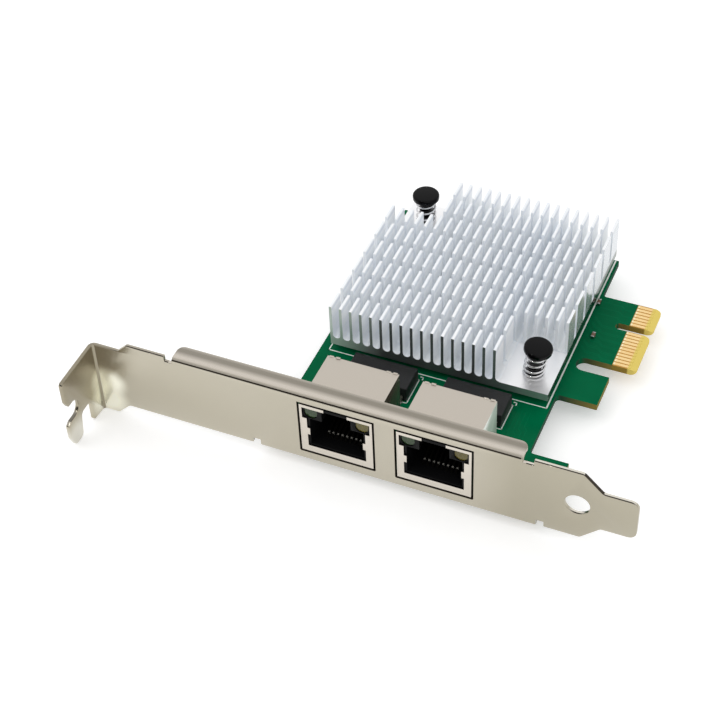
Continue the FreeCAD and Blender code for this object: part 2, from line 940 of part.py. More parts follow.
def capacitors():
    """Chip capacitors beside the controller and beside the edge connector."""
    solids = around_chip(capacitor_size, side_capacitors, capacitor_gap)
    inward, along = edge_capacitor_place
    solids.append(small_block(capacitor_size, board_right + inward, connector_near + along, True))
    for i in range(under_capacitors):
        x = chip_x + (i - (under_capacitors - 1) / 2) * under_capacitor_pitch
        solids.append(small_block(capacitor_size, x, chip_y, True, True))
    return solids


def resistors():
    """Chip resistors in front of and behind the controller."""
    solids = []
    for side in (-1, 1):
        for i in range(end_resistors):
            x = chip_x - chip_side / 2 + (i + 0.5) * chip_side / end_resistors
            solids.append(small_block(resistor_size, x, chip_y + side * (chip_side / 2 + resistor_gap)))
    return solids


def flash_chip():
    """Small memory chip beside the controller."""
    return small_block(flash_size, chip_x + side_column, chip_y + flash_back, lift=flash_standoff)


def flash_leads():
    """Leads on the two long sides of the memory chip."""
    x = chip_x + side_column
    y = chip_y + flash_back
    leads = []
    for i in range(flash_leads_a_side):
        place = x + (i - (flash_leads_a_side - 1) / 2) * flash_lead_pitch
        for side in (-1, 1):
            edge = y + side * flash_size[1] / 2
            leads.append(gull_lead(edge, side, place, flash_lead_exit, flash_lead_reach))
    return leads


def build():
    """Write every sub-part of the card."""
    os.makedirs("parts", exist_ok=True)
    save("bracket", bracket())
    save("circuit_board", circuit_board())
    save("edge_contacts", *edge_contacts())
    save("heatsink", heatsink())
    half = chip_side / 2
    chip_top = board_top + chip_height
    sides = (chip_x - half, chip_x + half, chip_y - half, chip_y + half)
    save("controller_chip", box(*sides, board_top, chip_top))
    save("thermal_pad", box(*sides, chip_top, sink_bottom))
    for name, (x, y, lean) in pins.items():
        save("push_pin_" + name, push_pin(x, y, lean))
        save("pin_spring_" + name, pin_spring(x, y, lean))
    for number, centre in enumerate(jack_centres, 1):
        jack = "jack_%d_" % number
        save(jack + "shield", shield(centre))
        save(jack + "housing", housing(centre))
        save(jack + "contacts", *contact_wires(centre))
        save(jack + "light_left", lens(centre, -1))
        save(jack + "light_right", lens(centre, 1))
        save("transformer_%d" % number, transformer(centre))
        save("transformer_%d_leads" % number, *transformer_leads(centre))
    save("bracket_screws", *[bracket_screw(x) for x in screw_xs])
    save("capacitors", *capacitors())
    save("resistors", *resistors())
    left_column = chip_x - side_column
    right_column = chip_x + side_column
    save("crystal", small_block(crystal_size, right_column, chip_y + crystal_back))
    save("regulator", small_block(regulator_size, left_column, chip_y + regulator_back))
    save("power_inductor", small_block(inductor_size, left_column, chip_y + inductor_back))
    save("flash_chip", flash_chip())
    save("flash_chip_leads", *flash_leads())


build()
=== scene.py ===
# %% [markdown]
# # A network interface card, lying with its component side up
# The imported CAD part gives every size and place. This lesson adds what a photograph shows and
# a plain solid lacks: worn-in edges, wound springs, rounded channels, ink lines, solder, and a
# finish for each surface. Everything stays in the frame of the CAD part, in metres.

import math

import bmesh
import bpy
from mathutils import Matrix, Vector


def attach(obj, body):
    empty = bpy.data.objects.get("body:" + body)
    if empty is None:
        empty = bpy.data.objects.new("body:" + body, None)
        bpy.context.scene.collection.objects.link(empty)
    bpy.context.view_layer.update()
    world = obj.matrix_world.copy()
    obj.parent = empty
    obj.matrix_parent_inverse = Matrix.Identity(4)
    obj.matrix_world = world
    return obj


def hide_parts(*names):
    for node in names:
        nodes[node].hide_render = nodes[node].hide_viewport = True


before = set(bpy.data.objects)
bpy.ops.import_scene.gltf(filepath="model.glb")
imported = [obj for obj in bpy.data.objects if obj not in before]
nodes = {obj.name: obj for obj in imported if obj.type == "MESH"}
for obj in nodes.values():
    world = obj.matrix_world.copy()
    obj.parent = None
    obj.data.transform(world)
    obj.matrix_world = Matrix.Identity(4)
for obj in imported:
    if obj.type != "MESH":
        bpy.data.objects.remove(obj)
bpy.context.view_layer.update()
print("loaded", len(nodes), "CAD nodes")

# %% [markdown]
# Places on this card are easiest to read from its bracket: X along the plate from the screw
# tab, Y back from the plate's front face, and Z up from the plate's lower edge, in
# millimetres. One helper turns such a place into the frame's metres.

# %% Places measured on the bracket
MM = 0.001
BRACKET_CORNER = Vector((-60.01, -32.9, 3.05))
BOARD_TOP = 2.43
BOARD_BOTTOM = 0.86
JACKS = (56.61, 77.88)
JACK_TOP = 15.85
FRONT_PIN, REAR_PIN = (87.04, 34.85), (47.70, 73.31)
X, Y, Z = 0, 1, 2
PAST_END = 130


def at(x, y, z):
    """Place on the card, in millimetres from the bracket's corner, as a point of the frame."""
    return (Vector((x, y, z)) + BRACKET_CORNER) * MM


print("bracket corner at", at(0, 0, 0))

# %% [markdown]
# The camera stands where the photographer's stood. Its place, its turn and its lens were
# worked out from corners of the card with known sizes, so it is entered as three directions
# and a point, which say more than three angles would.

# %% Camera
bpy.ops.object.camera_add()
camera = bpy.context.object
camera.name = "camera"
camera.data.sensor_width = 36
camera.data.lens = 86.36
to_right = Vector((0.92090, 0.38814, -0.03586))
to_top = Vector((-0.24996, 0.65863, 0.70974))
to_back = Vector((0.29910, -0.64464, 0.70355))
turn = Matrix((to_right, to_top, to_back)).transposed().to_4x4()
camera.matrix_world = Matrix.Translation((0.102434, -0.247625, 0.270743)) @ turn
camera.data.clip_start = 0.01
camera.data.clip_end = 20
bpy.context.scene.camera = camera
print("camera", [round(v, 3) for v in camera.location])

# %% [markdown]
# Finishes are built from nodes. Two helpers keep that short: one adds a node and sets or
# links its inputs, one opens a node group with named sockets. What several finishes share,
# such as fine grain or a mask by direction, becomes a group that is made once.

# %% Helpers for nodes
def tint(red, green, blue):
    """Colour as read from a photograph, 0 to 255, turned to the linear values that nodes use."""
    values = []
    for value in (red, green, blue):
        share = value / 255
        values.append(share / 12.92 if share <= 0.04045 else ((share + 0.055) / 1.055) ** 2.4)
    return (*values, 1)


def add(tree, kind, inputs=None, **settings):
    """New node with its settings, and with each input set or linked."""
    node = tree.nodes.new("ShaderNode" + kind)
    for name, value in settings.items():
        setattr(node, name, value)
    for name, value in (inputs or {}).items():
        if isinstance(value, bpy.types.NodeSocket):
            tree.links.new(value, node.inputs[name])
        else:
            node.inputs[name].default_value = value
    return node


def open_group(name, inputs, outputs):
    """Empty node group with its sockets. Inputs are (name, kind, value), outputs (name, kind)."""
    tree = bpy.data.node_groups.new(name, "ShaderNodeTree")
    for label, kind, value in inputs:
        socket = tree.interface.new_socket(label, in_out="INPUT", socket_type="NodeSocket" + kind)
        socket.default_value = value
    for label, kind in outputs:
        tree.interface.new_socket(label, in_out="OUTPUT", socket_type="NodeSocket" + kind)
    return tree, tree.nodes.new("NodeGroupInput").outputs, tree.nodes.new("NodeGroupOutput").inputs


def use(tree, group, **inputs):
    """A group placed in a finish, with its own values."""
    return add(tree, "Group", inputs, node_tree=group).outputs


print("helpers for nodes ready")

# %% [markdown]
# **Fine grain.** No real surface is one even colour or one even gloss. This group mixes two
# close colours by soft clouds and a share of fine speckle, wanders between two roughness
# values, and gives a height for bump. Stretch draws the grain out along an axis, as rolling
# does with metal.

# %% Group: fine grain
grain, given, result = open_group(
    "fine_grain",
    [
        ("Light", "Color", (0.8, 0.8, 0.8, 1)), ("Dark", "Color", (0.6, 0.6, 0.6, 1)),
        ("Smooth", "Float", 0.3), ("Rough", "Float", 0.4), ("Speckle", "Float", 0.3),
        ("Grain", "Float", 3000), ("Clouds", "Float", 60), ("Stretch", "Vector", (1, 1, 1)),
    ],
    [("Colour", "Color"), ("Roughness", "Float"), ("Height", "Float")],
)
place = add(grain, "TexCoord").outputs["Object"]
drawn = add(grain, "VectorMath", {0: place, 1: given["Stretch"]}, operation="MULTIPLY").outputs[0]
fine = add(grain, "TexNoise", {"Vector": drawn, "Scale": given["Grain"], "Detail": 3}).outputs["Fac"]
cloud = add(grain, "TexNoise", {"Vector": drawn, "Scale": given["Clouds"], "Detail": 2}).outputs["Fac"]
both = add(grain, "Mix", {0: given["Speckle"], 2: cloud, 3: fine}, data_type="FLOAT").outputs[0]
share = add(grain, "MapRange", {"Value": both, "From Min": 0.34, "From Max": 0.66}).outputs[0]
blend = add(grain, "Mix", {0: share, 6: given["Dark"], 7: given["Light"]}, data_type="RGBA")
gloss = add(grain, "MapRange", {"Value": share, "To Min": given["Rough"], "To Max": given["Smooth"]})
grain.links.new(blend.outputs[2], result["Colour"])
grain.links.new(gloss.outputs[0], result["Roughness"])
grain.links.new(fine, result["Height"])
print("group", grain.name)

# %% [markdown]
# **Facing.** A sawn face, a milled face and a drawn face of one block look different. The
# object's own normal tells them apart, so this group gives a mask for each direction.

# %% Group: facing
SIDES = (("Top", Z, 1), ("Front", Y, -1), ("Back", Y, 1), ("Right", X, 1), ("Left", X, -1))
facing, given, result = open_group("facing", [], [(label, "Float") for label, axis, sign in SIDES])
axes = add(facing, "SeparateXYZ", {0: add(facing, "TexCoord").outputs["Normal"]}).outputs
for label, axis, sign in SIDES:
    towards = add(facing, "Math", {0: axes[axis], 1: sign}, operation="MULTIPLY").outputs[0]
    mask = add(facing, "MapRange", {"Value": towards, "From Min": 0.75, "From Max": 0.97})
    facing.links.new(mask.outputs[0], result[label])
print("group", facing.name)

# %% [markdown]
# **Zone and pool.** A zone is a mask that is one between two places along a direction, with a
# soft step at each: it shows where bare laminate begins. A pool is a soft round spot.

# %% Groups: zone and pool
zone, given, result = open_group(
    "zone",
    [("Along", "Vector", (1, 0, 0)), ("From", "Float", 0), ("To", "Float", 1), ("Step", "Float", 0.0001)],
    [("Mask", "Float")],
)
place = add(zone, "TexCoord").outputs["Object"]
reach = add(zone, "VectorMath", {0: place, 1: given["Along"]}, operation="DOT_PRODUCT").outputs["Value"]
from_start = add(zone, "Math", {0: reach, 1: given["From"]}, operation="SUBTRACT").outputs[0]
to_end = add(zone, "Math", {0: given["To"], 1: reach}, operation="SUBTRACT").outputs[0]
nearer = add(zone, "Math", {0: from_start, 1: to_end}, operation="MINIMUM").outputs[0]
inside = add(zone, "Math", {0: nearer, 1: given["Step"]}, operation="DIVIDE", use_clamp=True).outputs[0]
zone.links.new(inside, result["Mask"])

pool, given, result = open_group(
    "pool", [("Centre", "Vector", (0, 0, 0)), ("Radius", "Float", 0.005)], [("Mask", "Float")])
place = add(pool, "TexCoord").outputs["Object"]
away = add(pool, "VectorMath", {0: place, 1: given["Centre"]}, operation="DISTANCE").outputs["Value"]
share = add(pool, "Math", {0: away, 1: given["Radius"]}, operation="DIVIDE").outputs[0]
spot = add(pool, "MapRange", {"Value": share, "From Min": 0.3, "From Max": 1, "To Min": 1, "To Max": 0},
           interpolation_type="SMOOTHSTEP")
pool.links.new(spot.outputs[0], result["Mask"])
print("groups", zone.name, pool.name)

# %% [markdown]
# **A finish** is a Principled shader with the grain group in front of it. Metal, plastic and
# paint differ by their values, so one function makes them, and later cells add what is
# special about a surface. What is the same all over is set on the shader itself.

# %% A finish from grain
def finish_of(name, light, dark, smooth, rough, metal=0, grain_size=3000, clouds=60, stretch=(1, 1, 1),
              speckle=0.3, bump=0.00001, **fixed):
    """New material with grained colour, roughness and bump, and the shader to build on."""
    material = bpy.data.materials.new(name)
    material.use_nodes = True
    tree = material.node_tree
    shader = tree.nodes["Principled BSDF"]
    made = use(tree, grain, Light=light, Dark=dark, Smooth=smooth, Rough=rough, Speckle=speckle,
               Grain=grain_size, Clouds=clouds, Stretch=stretch)
    bumped = add(tree, "Bump", {"Height": made["Height"], "Strength": 0.6, "Distance": bump})
    tree.links.new(made["Colour"], shader.inputs["Base Color"])
    tree.links.new(made["Roughness"], shader.inputs["Roughness"])
    tree.links.new(bumped.outputs[0], shader.inputs["Normal"])
    shader.inputs["Metallic"].default_value = metal
    for label, value in fixed.items():
        shader.inputs[label.replace("_", " ")].default_value = value
    return material


print("finishes can be made")

# %% [markdown]
# Special places are laid over a finish with masks. Masks can be multiplied, for places where
# both are true, or the larger one taken.

# %% Masks laid over a finish
def overlay(material, mask, colour=None, roughness=None, metal=None):
    """Change a finish's colour, roughness or metal where a mask is one."""
    tree = material.node_tree
    shader = tree.nodes["Principled BSDF"]
    if colour is not None:
        mix = add(tree, "Mix", data_type="RGBA")
        tree.links.new(mask, mix.inputs[0])
        tree.links.new(shader.inputs["Base Color"].links[0].from_socket, mix.inputs[6])
        mix.inputs[7].default_value = colour
        tree.links.new(mix.outputs[2], shader.inputs["Base Color"])
    for label, value in (("Roughness", roughness), ("Metallic", metal)):
        if value is None:
            continue
        socket = shader.inputs[label]
        before = socket.links[0].from_socket if socket.links else socket.default_value
        mix = add(tree, "Mix", {0: mask, 2: before, 3: value}, data_type="FLOAT")
        tree.links.new(mix.outputs[0], socket)


def product(tree, *masks):
    """One mask that is one only where all the masks are."""
    whole = masks[0]
    for mask in masks[1:]:
        whole = add(tree, "Math", {0: whole, 1: mask}, operation="MULTIPLY").outputs[0]
    return whole


def larger(tree, first, second):
    """One mask that is one where either mask is."""
    return add(tree, "Math", {0: first, 1: second}, operation="MAXIMUM").outputs[0]


def span(tree, axis, start, end, step=0.1):
    """Mask between two places in millimetres along X, Y or Z of the card."""
    along = [float(i == axis) for i in range(3)]
    low, high = at(start, start, start)[axis], at(end, end, end)[axis]
    return use(tree, zone, Along=along, From=low, To=high, Step=step * MM)["Mask"]


def spot_at(tree, x, y, z, radius):
    """Soft round mask about a place on the card."""
    return use(tree, pool, Centre=at(x, y, z), Radius=radius * MM)["Mask"]


print("masks ready")

# %% [markdown]
# ** The bracket** is nickel-plated steel: warm, satin and almost free of grain. A mirror shows
# the room, and this studio is plainer than a photographer's, so broad differences of reflected
# tone are painted over the plate. The painted reflection is duller towards the tongue and on
# the tab. What looks up is painted lighter, apart from a strip of painted dark reflection along
# the middle of the upper flange.

# %% Nickel plate
nickel = finish_of("nickel_plate", tint(191, 185, 170), tint(184, 178, 161), 0.2, 0.26, metal=1,
                   grain_size=1500, clouds=16, speckle=0.05, bump=0.0000006)
tree = nickel.node_tree
sides = use(tree, facing)
overlay(nickel, span(tree, X, 86, PAST_END, 9), colour=tint(174, 168, 151))
overlay(nickel, span(tree, X, -1, 0.9, 0.02), colour=tint(172, 164, 142))
overlay(nickel, sides["Top"], colour=tint(206, 198, 187))
overlay(nickel, product(tree, sides["Top"], span(tree, Y, 1.5, 4.9, 1.3)), colour=tint(146, 140, 129))
print("nickel plate:", len(tree.nodes), "nodes")

# %% [markdown]
# The sheared edges of the sheet are raw, and their tones are painted light and shade. The top
# edge of the tab is painted dark. The upper ones get painted light on their back half and
# painted shade on their front half, and the slope down to the tongue is painted dark all
# along. A wide soft spot of painted shade dulls the tab high up.

# %% Sheared edges
# Painted shade on the front half of the upper sheared edges and on the slope down to the tongue.
PAINTED_EDGE_SHADE = tint(62, 57, 50)
TAB_EDGE, SHOULDER_EDGE, TONGUE_EDGE = (-9, 0.9), (0.9, 19), (97, PAST_END)
overlay(nickel, product(tree, sides["Top"], span(tree, X, *TAB_EDGE)), colour=tint(96, 91, 83))
for reach, colour in ((SHOULDER_EDGE, tint(178, 171, 158)), (TONGUE_EDGE, tint(222, 217, 205))):
    edge = product(tree, sides["Top"], span(tree, X, *reach))
    overlay(nickel, edge, colour=colour)
    overlay(nickel, product(tree, edge, span(tree, Y, -0.3, 0.36, 0.05)), colour=PAINTED_EDGE_SHADE)
overlay(nickel, spot_at(tree, 1, -6, 14, 13), colour=tint(154, 146, 128))
hidden = larger(tree, sides["Back"], sides["Left"])
outer = add(tree, "Math", {0: 1, 1: hidden}, operation="SUBTRACT").outputs[0]
cut = add(tree, "Math", {0: outer, 1: sides["Front"]}, operation="SUBTRACT", use_clamp=True).outputs[0]
slope = product(tree, cut, span(tree, X, 108.7, 113), span(tree, Z, 14.35, 18.5),
                span(tree, Y, 0.02, 0.84, 0.02))
overlay(nickel, slope, colour=PAINTED_EDGE_SHADE)
print("with sheared edges:", len(tree.nodes), "nodes")

# %% [markdown]
# Painted pools of reflected light lie where the tab meets the plate, on the faces that look
# outwards, and the tab's lower corner gets a painted reflection too. The fold beside them, the
# crease under the upper flange, and the walls and sills of the two ports get little light.
# They get painted shade, and the walls and sills are dull as well. The bend round the crease
# is painted a shade darker and duller, which tones down its glint.

# %% Pools, folds and ports
UNLIT = tint(46, 40, 31)
PORTS = ((48.2, 65.0), (69.5, 86.3))
for x, z, radius in ((2.6, 0.5, 6), (3.6, 6.0, 5)):
    overlay(nickel, product(tree, outer, spot_at(tree, x, 0, z, radius)), colour=tint(246, 244, 228))
overlay(nickel, spot_at(tree, 1, -11, -1, 6.5), colour=tint(214, 211, 200))
fold = product(tree, span(tree, X, 0.86, 1.3, 0.03), span(tree, Y, -0.6, 0, 0.02))
overlay(nickel, fold, colour=tint(156, 149, 130))
along_flange = span(tree, X, 19.3, 96)
bend = product(tree, span(tree, Z, 17.7, 18.36, 0.1), span(tree, Y, 0, 0.9), along_flange)
overlay(nickel, bend, colour=tint(178, 171, 159), roughness=0.5)
crease = product(tree, span(tree, Z, 17.74, 18.04, 0.04), span(tree, Y, 0, 0.6), along_flange)
overlay(nickel, crease, colour=tint(56, 50, 42), roughness=0.4)
port_wall = product(tree, span(tree, Y, 0.0, 0.8, 0.02), span(tree, X, 47, 87), span(tree, Z, 1.95, 16.6))
overlay(nickel, port_wall, colour=UNLIT, roughness=0.6)
both_ports = larger(tree, span(tree, X, *PORTS[0]), span(tree, X, *PORTS[1]))
sill = product(tree, span(tree, Z, 1.84, 2.3, 0.04), span(tree, Y, -0.1, 0.8), both_ports)
overlay(nickel, sill, colour=UNLIT, roughness=0.6)
print("with pools, folds and ports:", len(tree.nodes), "nodes")

# %% [markdown]
# ** The jack shells** are folded from tinned sheet, brighter than the bracket; their tops are
# painted a shade darker and are duller. Seen from the front, the right side of the first one
# faces the space between the shells and gets painted shade, and that of the second one faces
# the open board and gets a pale painted reflection. In the narrow gap between shell and port
# the tin gets painted shade, because no light gets in there.

# %% Tinned shells
shell_tin = finish_of("tinned_shell", tint(212, 205, 194), tint(205, 198, 187), 0.16, 0.2, metal=1,
                      grain_size=1500, clouds=20, speckle=0.08, bump=0.0000006)
tree = shell_tin.node_tree
sides = use(tree, facing)
overlay(shell_tin, sides["Top"], colour=tint(196, 188, 177), roughness=0.3)
BETWEEN_SHELLS, SECOND_SHELL = (50, 75), (75, PAST_END)
for reach, colour in ((BETWEEN_SHELLS, tint(88, 82, 70)), (SECOND_SHELL, tint(238, 245, 236))):
    overlay(shell_tin, product(tree, sides["Right"], span(tree, X, *reach)), colour=colour, metal=0.3)
not_front = add(tree, "Math", {0: 1, 1: sides["Front"]}, operation="SUBTRACT").outputs[0]
gap = product(tree, span(tree, Y, 0.01, 2.2, 0.03), not_front)
overlay(shell_tin, gap, colour=tint(38, 32, 25), roughness=0.6)
print("tinned shell:", len(tree.nodes), "nodes")

# %% [markdown]
# ** Aluminium.** The heatsink is drawn, etched and clear anodised, so its fins are a bright,
# half-diffuse white, with a band of painted shade just under each crest. The outer left and
# back walls, which the whole sky lights, are painted a shade darker.

# %% Anodised aluminium
CLEAR_WHITE = tint(242, 246, 251)
aluminium = finish_of("anodised_aluminium", tint(254, 255, 255), CLEAR_WHITE, 0.5, 0.6, metal=0.45,
                      grain_size=2600, clouds=70, stretch=(1, 0.12, 1), speckle=0.6, bump=0.000004)
tree = aluminium.node_tree
sides = use(tree, facing)
walls = product(tree, sides["Right"], span(tree, Z, 11, 17, 3.4))
overlay(aluminium, walls, colour=tint(251, 253, 255), metal=0.15)
under_crest = product(tree, sides["Right"], span(tree, Z, 13.7, 15.2, 0.6))
overlay(aluminium, under_crest, colour=tint(229, 234, 241))
sawn = product(tree, sides["Front"], span(tree, Y, 30, PAST_END))
overlay(aluminium, sawn, colour=CLEAR_WHITE)
left_wall = product(tree, sides["Left"], span(tree, X, 40, 42.7))
back_wall = product(tree, sides["Back"], span(tree, Y, 78.6, 82))
overlay(aluminium, larger(tree, left_wall, back_wall), colour=tint(228, 233, 240))
print("anodised aluminium:", len(tree.nodes), "nodes")

# %% [markdown]
# The sawn front face is smoother and carries a painted reflection: dark for the parts in front
# of it and green for the board, and pale at its left end. The right face is smoother still and
# painted a shade darker, above a base that is painted dark as shade, and the milled seats of
# the pins are a satin mirror.

# %% Sawn and milled faces
front = product(tree, sides["Front"], span(tree, Y, 20, 29.6))
overlay(aluminium, front, colour=tint(196, 212, 204), roughness=0.3, metal=0.3)
overlay(aluminium, product(tree, front, span(tree, X, 44, PAST_END, 11)), colour=tint(76, 82, 81))
overlay(aluminium, product(tree, front, span(tree, X, 76, PAST_END, 14)), colour=tint(124, 152, 140))
right = product(tree, sides["Right"], span(tree, X, 91.5, PAST_END))
overlay(aluminium, right, colour=tint(218, 222, 226), roughness=0.24, metal=0.65)
overlay(aluminium, product(tree, right, span(tree, Z, 0, 6.35, 0.1)), colour=tint(126, 134, 128), metal=1)
seat = product(tree, sides["Top"], span(tree, Z, 6.05, 6.25, 0.01))
overlay(aluminium, seat, colour=tint(254, 254, 255), roughness=0.3, metal=0.75)
print("with sawn and milled faces:", len(tree.nodes), "nodes")

# %% [markdown]
# ** Small metals.** Springs are bright wire, leads and joints are tin, and the edge contacts
# are gold over nickel, paler at their inner ends and yellower near the card's edge. Deep in a
# jack the contact wires are painted dark as shade, with a painted highlight only where they
# bend at the front.

# %% Small metals
bright_wire = finish_of("bright_wire", tint(220, 220, 222), tint(200, 200, 202), 0.07, 0.14, metal=1,
                        grain_size=4000, clouds=300, bump=0.000001)
lead_tin = finish_of("lead_tin", tint(206, 206, 204), tint(172, 172, 170), 0.2, 0.36, metal=1,
                     grain_size=5000, clouds=400)
zinc = finish_of("zinc_plate", tint(200, 200, 196), tint(176, 176, 173), 0.2, 0.32, metal=1, clouds=300)
solder = finish_of("solder", tint(182, 183, 184), tint(142, 144, 147), 0.16, 0.3, metal=1, clouds=500)
gold = finish_of("gold_plate", tint(252, 220, 160), tint(246, 206, 140), 0.18, 0.28, metal=0.7,
                 grain_size=2500, clouds=300, bump=0.000002)
overlay(gold, span(gold.node_tree, X, 95, 101.75), colour=tint(255, 238, 196))
overlay(gold, span(gold.node_tree, X, 104.5, PAST_END, 0.3), colour=tint(226, 202, 106))
jack_wire = finish_of("jack_wire", tint(30, 27, 22), tint(24, 21, 18), 0.3, 0.4, metal=0.8, clouds=400)
overlay(jack_wire, span(jack_wire.node_tree, Y, 3.85, 4.3), colour=tint(150, 148, 140), metal=0.2)
print("materials so far:", len(bpy.data.materials))

# %% [markdown]
# **The mouldings.** Black parts are never pure black. Epoxy is grainy and dull, nylon is
# smoother, and the jack's housing sits between them. The light windows are tinted and clear,
# so they let light through. The pad, the chip parts and the white ink belong here too.

# %% Mouldings and windows
epoxy = finish_of("moulded_epoxy", tint(35, 36, 37), tint(24, 25, 25), 0.4, 0.58, grain_size=4200, clouds=120,
                  speckle=0.5, bump=0.00002, Specular_IOR_Level=0.3)
nylon = finish_of("moulded_nylon", tint(6, 6, 7), tint(4, 4, 5), 0.12, 0.2, grain_size=1800, clouds=160,
                  bump=0.000003, Specular_IOR_Level=0.12)
housing_black = finish_of("housing_black", tint(9, 9, 10), tint(5, 5, 6), 0.35, 0.5, grain_size=2600,
                          Specular_IOR_Level=0.1)
pad_grey = finish_of("pad_grey", tint(128, 128, 132), tint(112, 112, 116), 0.6, 0.75, bump=0.00002)
powder = finish_of("pressed_powder", tint(74, 74, 77), tint(58, 58, 61), 0.5, 0.7, grain_size=5200,
                   bump=0.00004)
ceramic = finish_of("ceramic_brown", tint(118, 88, 68), tint(94, 70, 54), 0.3, 0.45, grain_size=4500)
ink = finish_of("white_ink", tint(247, 250, 246), tint(228, 235, 228), 0.45, 0.65, grain_size=6000, clouds=900,
                bump=0.00001)
lens_green = finish_of("window_green", tint(60, 94, 42), tint(42, 74, 28), 0.1, 0.2, clouds=300,
                       Transmission_Weight=0.5, IOR=1.5)
lens_yellow = finish_of("window_yellow", tint(148, 136, 54), tint(120, 108, 38), 0.1, 0.2, clouds=300,
                        Transmission_Weight=0.5, IOR=1.5)
print("materials so far:", len(bpy.data.materials))

# %% [markdown]
# **The board.** Green solder mask lies over copper in soft, slightly uneven patches. The
# milled edge shows dark laminate, browner where the board was broken from its panel. At the
# connector there is no mask: brown laminate between the contacts, and a yellow bare end.

# %% Board finish
board_green = finish_of("solder_mask", tint(0, 105, 66), tint(0, 93, 58), 0.16, 0.24, grain_size=3500,
                        clouds=90, speckle=0.15, bump=0.000003, Specular_IOR_Level=0.03)
tree = board_green.node_tree
sides = use(tree, facing)
front_or_back = larger(tree, sides["Front"], sides["Back"])
left_or_right = larger(tree, sides["Left"], sides["Right"])
rim = larger(tree, front_or_back, left_or_right)
overlay(board_green, rim, colour=tint(44, 76, 58), roughness=0.6)
for mask in (spot_at(tree, 102, 38, 1.6, 6), span(tree, X, 94, PAST_END, 8)):
    overlay(board_green, product(tree, rim, mask), colour=tint(138, 122, 62))
MASK_ENDS, BARE_END, CONNECTOR_SIDES = 101.2, 104.5, (46.1, 67.5)
across = span(tree, Y, *CONNECTOR_SIDES)
unmasked = product(tree, span(tree, X, MASK_ENDS, PAST_END), across)
overlay(board_green, unmasked, colour=tint(150, 124, 56), roughness=0.45)
either_face = larger(tree, sides["Top"], span(tree, Z, 0, 0.87, 0.01))
overlay(board_green, product(tree, unmasked, either_face), colour=tint(200, 152, 76))
bare_end = product(tree, span(tree, X, BARE_END, PAST_END, 0.3), across)
overlay(board_green, bare_end, colour=tint(230, 207, 110), roughness=0.4)
print("board finish:", len(tree.nodes), "nodes")

# %% [markdown]
# Modelling here follows one rhythm: deselect everything, add a primitive at its size and
# place, select faces or edges by where they are, change them, and bring the object back to
# the origin so that its place is in its mesh. These helpers are that rhythm.

# %% Helpers for modelling
def begin(kind, name, **where):
    """Add one primitive at its size and place. It is then the only thing selected."""
    if bpy.context.mode != "OBJECT":
        bpy.ops.object.mode_set(mode="OBJECT")
    bpy.ops.object.select_all(action="DESELECT")
    getattr(bpy.ops.mesh, "primitive_" + kind + "_add")(**where)
    piece = bpy.context.object
    piece.name = name
    bpy.ops.object.transform_apply(location=True, rotation=True, scale=True)
    return piece


def block(name, low, high):
    """Cube primitive between two places on the card."""
    start, end = at(*low), at(*high)
    return begin("cube", name, size=1, location=(start + end) / 2, scale=end - start)


def only(piece):
    """Make a piece the only selected and the active one."""
    bpy.ops.object.select_all(action="DESELECT")
    piece.select_set(True)
    bpy.context.view_layer.objects.active = piece


def pick(piece, kind, wanted):
    """Go into edit mode and select the vertices, edges or faces for which wanted() is true."""
    if bpy.context.mode == "OBJECT":
        only(piece)
        bpy.ops.object.mode_set(mode="EDIT")
    bpy.ops.mesh.select_mode(type=kind)
    bpy.ops.mesh.select_all(action="DESELECT")
    mesh = bmesh.from_edit_mesh(piece.data)
    found = 0
    for part in {"VERT": mesh.verts, "EDGE": mesh.edges, "FACE": mesh.faces}[kind]:
        part.select = bool(wanted(part))
        found += part.select
    mesh.select_flush_mode()
    bmesh.update_edit_mesh(piece.data)
    return found


def done():
    """Leave edit mode."""
    bpy.ops.object.mode_set(mode="OBJECT")


print("helpers for modelling ready")

# %% [markdown]
# Three more steps are needed often: a modifier given and applied at once, several pieces
# joined as one object, and a finished piece dressed with its finish, shading and body.

# %% Helpers for finished pieces
def modify(piece, kind, **settings):
    """Give a piece a modifier and apply it."""
    only(piece)
    modifier = piece.modifiers.new(kind.lower(), kind)
    for name, value in settings.items():
        setattr(modifier, name, value)
    bpy.ops.object.modifier_apply(modifier=modifier.name)


def joined(name, pieces):
    """Several pieces as one object."""
    only(pieces[0])
    for piece in pieces:
        piece.select_set(True)
    bpy.ops.object.join()
    pieces[0].name = name
    return pieces[0]


def bevelled(piece, width, segments=2):
    """Every edge of a piece rounded, by a width in millimetres."""
    pick(piece, "EDGE", lambda e: True)
    bpy.ops.mesh.bevel(offset=width * MM, segments=segments, affect="EDGES")
    done()
    return piece


def dress(piece, material, angle=30, replaces=()):
    """Finish, shading, body and material slot of a new piece."""
    only(piece)
    piece.data.materials.clear()
    piece.data.materials.append(material)
    bpy.ops.object.shade_smooth_by_angle(angle=math.radians(angle))
    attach(piece, "root")
    if replaces:
        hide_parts(*replaces)
    print(piece.name, len(piece.data.polygons), "faces")


print("helpers for finished pieces ready")

# %% [markdown]
# **Softened copies.** A folded sheet, a shell or a moulding has the right shape in CAD but
# knife edges, and no real edge is one. A copy of the CAD mesh is merged, its flat faces are
# joined up again, and a small bevel rounds every edge, so that it catches a line of light.

# %% Softened copies of CAD shapes
MERGE = 0.000001


def softened(node, name, width, segments=2):
    """Merged, cleaned and bevelled copy of a CAD node. Width is in millimetres."""
    only(nodes[node])
    bpy.ops.object.duplicate()
    piece = bpy.context.object
    piece.name = name
    for key in list(piece.keys()):
        del piece[key]
    piece.parent = None
    bpy.ops.object.mode_set(mode="EDIT")
    bpy.ops.mesh.select_all(action="SELECT")
    bpy.ops.mesh.remove_doubles(threshold=MERGE)
    bpy.ops.mesh.dissolve_limited(angle_limit=math.radians(1))
    done()
    modify(piece, "BEVEL", width=width * MM, segments=segments, limit_method="ANGLE",
           angle_limit=math.radians(28), use_clamp_overlap=False, harden_normals=False)
    return piece


